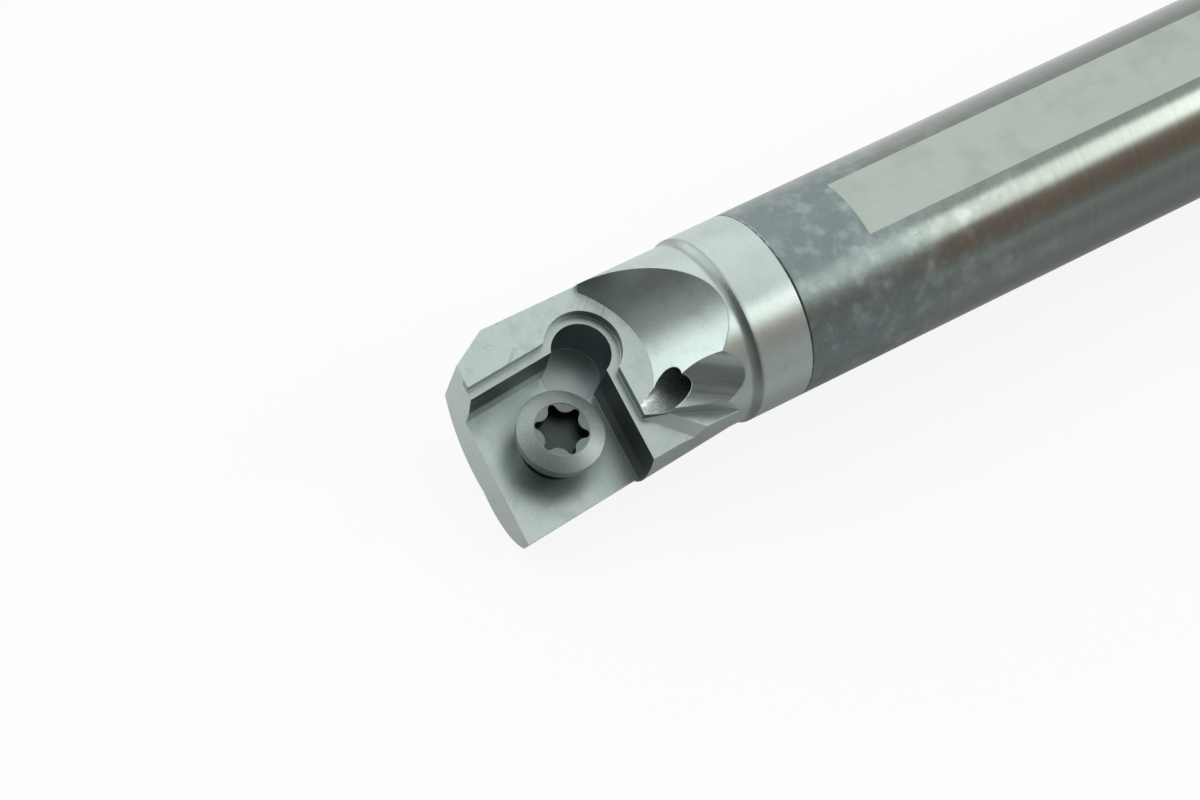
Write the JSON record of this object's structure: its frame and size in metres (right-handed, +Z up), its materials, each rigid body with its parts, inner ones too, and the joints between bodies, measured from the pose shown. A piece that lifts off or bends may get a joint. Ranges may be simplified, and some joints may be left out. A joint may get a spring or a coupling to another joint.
{
  "type": "boring bar",
  "caption": "Slim ground shank with a brazed steel head that carries a tilted insert pocket, its clamping screw and a coolant outlet, for turning inside a bore.",
  "frame": {"origin": "centre of the shank's rear end, at the mouth of the coolant bore", "axes": "+X along the bar towards its cutting end, +Y to the cutting side, +Z up from the clamping flat"},
  "size_m": [0.1798, 0.012, 0.0123],
  "materials": {
    "shank_carbide": "ground to a dark mirror, with a matt light flat on top and faint heat stains near the brazed joint",
    "head_steel": "satin nickel grey, finely turned on the collar, milled in the pocket and the scoops",
    "screw_steel": "matt grey with a fine speckle"
  },
  "bodies": {
    "bar": {"shank": "shank_carbide", "head": "head_steel"},
    "clamp_screw": {"insert_screw": "screw_steel"}
  },
  "joints": [
    {"name": "insert_screw_turn", "type": "hinge", "parent": "bar", "child": "clamp_screw", "pos_m": [0.17522, 0.00109, -0.00288], "axis": [0, 0.2334, 0.9724], "range_deg": [-60, 1500]}
  ]
}
